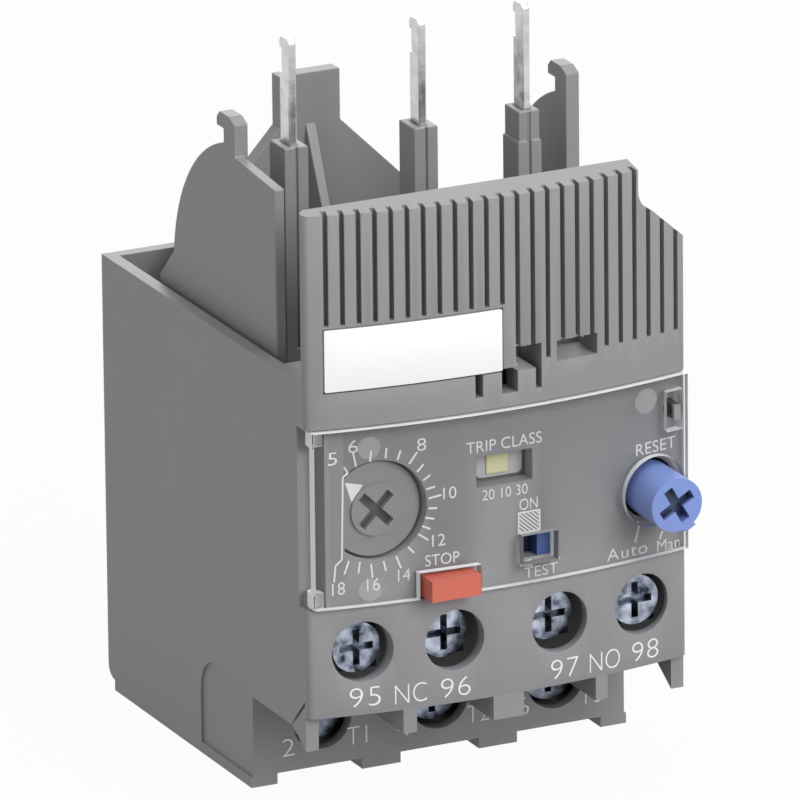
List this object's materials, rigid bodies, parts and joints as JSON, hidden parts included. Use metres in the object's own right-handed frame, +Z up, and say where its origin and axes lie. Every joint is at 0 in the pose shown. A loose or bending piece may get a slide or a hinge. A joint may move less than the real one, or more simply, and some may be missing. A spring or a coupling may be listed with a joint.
{
  "type": "overload relay",
  "caption": "Plug-on motor overload relay: grey moulded box with grooved bowed front, blade pins on top, setting dial under a hinged clear cover, reset knob and screw terminals.",
  "frame": {"origin": "centre of the overall footprint at the level of the feet", "axes": "+X to the right seen from the front, -Y out of the front, +Z up along the blade pins"},
  "size_m": [0.045, 0.058, 0.0814],
  "materials": {
    "grey_moulding": "fine satin moulding",
    "clear_cover": "clear polished plastic",
    "label_white": "plain white",
    "dial_grey": "satin",
    "blue": "semi-gloss",
    "red": "semi-gloss",
    "pale_yellow": "satin",
    "inner_black": "satin",
    "board_green": "solder mask",
    "can_silver": "bare can",
    "silvered": "silver-plated",
    "zinc_steel": "blue zinc plated",
    "copper": "enamelled wire",
    "core_iron": "plain",
    "spring_steel": "bright wire"
  },
  "bodies": {
    "housing": {"rear_housing": "grey_moulding", "top_carrier": "grey_moulding", "front_housing": "grey_moulding", "marker_plate": "label_white", "inner_frame": "inner_black", "circuit_board": "board_green", "controller_chip": "inner_black", "storage_capacitor": "can_silver", "trimmer": "inner_black", "class_switch": "dial_grey", "rocker_pin": "spring_steel", "trip_bobbin": "inner_black", "trip_winding": "copper", "trip_yoke": "core_iron", "stop_spring": "spring_steel", "reset_spring": "spring_steel", "test_spring": "spring_steel", "conductor_1": "silvered", "ct_core_1": "core_iron", "ct_winding_1": "copper", "conductor_2": "silvered", "ct_core_2": "core_iron", "ct_winding_2": "copper", "conductor_3": "silvered", "ct_core_3": "core_iron", "ct_winding_3": "copper", "aux_terminal_95": "silvered", "aux_terminal_96": "silvered", "aux_terminal_97": "silvered", "aux_terminal_98": "silvered"},
    "cover": {"clear_cover": "clear_cover"},
    "dial": {"setting_dial": "dial_grey"},
    "selector": {"selector_ring": "inner_black"},
    "reset": {"reset_button": "blue"},
    "stop": {"stop_button": "red"},
    "test": {"test_slide": "blue"},
    "class_knob": {"class_slider": "pale_yellow"},
    "rocker": {"trip_rocker": "inner_black", "nc_bridge": "silvered", "no_bridge": "silvered"},
    "plunger": {"trip_plunger": "core_iron"},
    "main_clamp_1": {"main_clamp_1": "zinc_steel"},
    "main_screw_1": {"main_screw_1": "zinc_steel"},
    "main_clamp_2": {"main_clamp_2": "zinc_steel"},
    "main_screw_2": {"main_screw_2": "zinc_steel"},
    "main_clamp_3": {"main_clamp_3": "zinc_steel"},
    "main_screw_3": {"main_screw_3": "zinc_steel"},
    "aux_clamp_95": {"aux_clamp_95": "zinc_steel"},
    "aux_screw_95": {"aux_screw_95": "zinc_steel"},
    "aux_clamp_96": {"aux_clamp_96": "zinc_steel"},
    "aux_screw_96": {"aux_screw_96": "zinc_steel"},
    "aux_clamp_97": {"aux_clamp_97": "zinc_steel"},
    "aux_screw_97": {"aux_screw_97": "zinc_steel"},
    "aux_clamp_98": {"aux_clamp_98": "zinc_steel"},
    "aux_screw_98": {"aux_screw_98": "zinc_steel"}
  },
  "joints": [
    {"name": "cover_swing", "type": "hinge", "parent": "housing", "child": "cover", "pos_m": [-0.0213, -0.0215, 0.0348], "axis": [0, 0, -1], "range_deg": [0, 110]},
    {"name": "dial_turn", "type": "hinge", "parent": "housing", "child": "dial", "pos_m": [-0.0145, -0.0224, 0.0351], "axis": [0, 1, 0], "range_deg": [0, 270]},
    {"name": "selector_turn", "type": "hinge", "parent": "housing", "child": "selector", "pos_m": [0.0181, -0.0224, 0.03225], "axis": [0, 1, 0], "range_deg": [0, 60]},
    {"name": "reset_push", "type": "slide", "parent": "selector", "child": "reset", "axis": [0, 1, 0], "range_m": [0, 0.0022], "stiffness_N_per_m": 1500, "springref_m": -0.001, "deforming": ["reset_spring"]},
    {"name": "stop_push", "type": "slide", "parent": "housing", "child": "stop", "axis": [0, 1, 0], "range_m": [0, 0.0015], "stiffness_N_per_m": 1500, "springref_m": -0.001, "deforming": ["stop_spring"]},
    {"name": "test_push", "type": "slide", "parent": "housing", "child": "test", "axis": [-1, 0, 0], "range_m": [0, 0.0014], "stiffness_N_per_m": 800, "springref_m": -0.001, "deforming": ["test_spring"]},
    {"name": "class_shift", "type": "slide", "parent": "housing", "child": "class_knob", "axis": [1, 0, 0], "range_m": [-0.0016, 0.0016]},
    {"name": "rocker_tilt", "type": "hinge", "parent": "housing", "child": "rocker", "pos_m": [0, -0.013, 0.0281], "axis": [0, 0, -1], "range_deg": [0, 12.55]},
    {"name": "plunger_stroke", "type": "slide", "parent": "housing", "child": "plunger", "axis": [0, -1, 0], "range_m": [0, 0.0017]},
    {"name": "main_clamp_slide_1", "type": "slide", "parent": "housing", "child": "main_clamp_1", "axis": [0, 1, 0], "range_m": [0, 0.0022]},
    {"name": "main_screw_turn_1", "type": "hinge", "parent": "main_clamp_1", "child": "main_screw_1", "pos_m": [-0.014, -0.0058, 0.0066], "axis": [0, 1, 0], "range_deg": [0, 1320.1]},
    {"name": "main_clamp_slide_2", "type": "slide", "parent": "housing", "child": "main_clamp_2", "axis": [0, 1, 0], "range_m": [0, 0.0022]},
    {"name": "main_screw_turn_2", "type": "hinge", "parent": "main_clamp_2", "child": "main_screw_2", "pos_m": [0, -0.0058, 0.0066], "axis": [0, 1, 0], "range_deg": [0, 1320.1]},
    {"name": "main_clamp_slide_3", "type": "slide", "parent": "housing", "child": "main_clamp_3", "axis": [0, 1, 0], "range_m": [0, 0.0022]},
    {"name": "main_screw_turn_3", "type": "hinge", "parent": "main_clamp_3", "child": "main_screw_3", "pos_m": [0.014, -0.0058, 0.0066], "axis": [0, 1, 0], "range_deg": [0, 1320.1]},
    {"name": "aux_clamp_slide_95", "type": "slide", "parent": "housing", "child": "aux_clamp_95", "axis": [0, 1, 0], "range_m": [0, 0.0021]},
    {"name": "aux_screw_turn_95", "type": "hinge", "parent": "aux_clamp_95", "child": "aux_screw_95", "pos_m": [-0.01657, -0.0218, 0.0196], "axis": [0, 1, 0], "range_deg": [0, 1512.1]},
    {"name": "aux_clamp_slide_96", "type": "slide", "parent": "housing", "child": "aux_clamp_96", "axis": [0, 1, 0], "range_m": [0, 0.0021]},
    {"name": "aux_screw_turn_96", "type": "hinge", "parent": "aux_clamp_96", "child": "aux_screw_96", "pos_m": [-0.00622, -0.0218, 0.0196], "axis": [0, 1, 0], "range_deg": [0, 1512.1]},
    {"name": "aux_clamp_slide_97", "type": "slide", "parent": "housing", "child": "aux_clamp_97", "axis": [0, 1, 0], "range_m": [0, 0.0021]},
    {"name": "aux_screw_turn_97", "type": "hinge", "parent": "aux_clamp_97", "child": "aux_screw_97", "pos_m": [0.00622, -0.0218, 0.0196], "axis": [0, 1, 0], "range_deg": [0, 1512.1]},
    {"name": "aux_clamp_slide_98", "type": "slide", "parent": "housing", "child": "aux_clamp_98", "axis": [0, 1, 0], "range_m": [0, 0.0021]},
    {"name": "aux_screw_turn_98", "type": "hinge", "parent": "aux_clamp_98", "child": "aux_screw_98", "pos_m": [0.01657, -0.0218, 0.0196], "axis": [0, 1, 0], "range_deg": [0, 1512.1]}
  ],
  "couplings": [
    {"joint": "rocker_tilt", "follows": "test_push", "rad_per_m": 156.25},
    {"joint": "plunger_stroke", "follows": "test_push", "ratio": 1.2143},
    {"joint": "main_screw_turn_1", "follows": "main_clamp_slide_1", "rad_per_m": 10472},
    {"joint": "main_screw_turn_2", "follows": "main_clamp_slide_2", "rad_per_m": 10472},
    {"joint": "main_screw_turn_3", "follows": "main_clamp_slide_3", "rad_per_m": 10472},
    {"joint": "aux_screw_turn_95", "follows": "aux_clamp_slide_95", "rad_per_m": 12566},
    {"joint": "aux_screw_turn_96", "follows": "aux_clamp_slide_96", "rad_per_m": 12566},
    {"joint": "aux_screw_turn_97", "follows": "aux_clamp_slide_97", "rad_per_m": 12566},
    {"joint": "aux_screw_turn_98", "follows": "aux_clamp_slide_98", "rad_per_m": 12566}
  ]
}
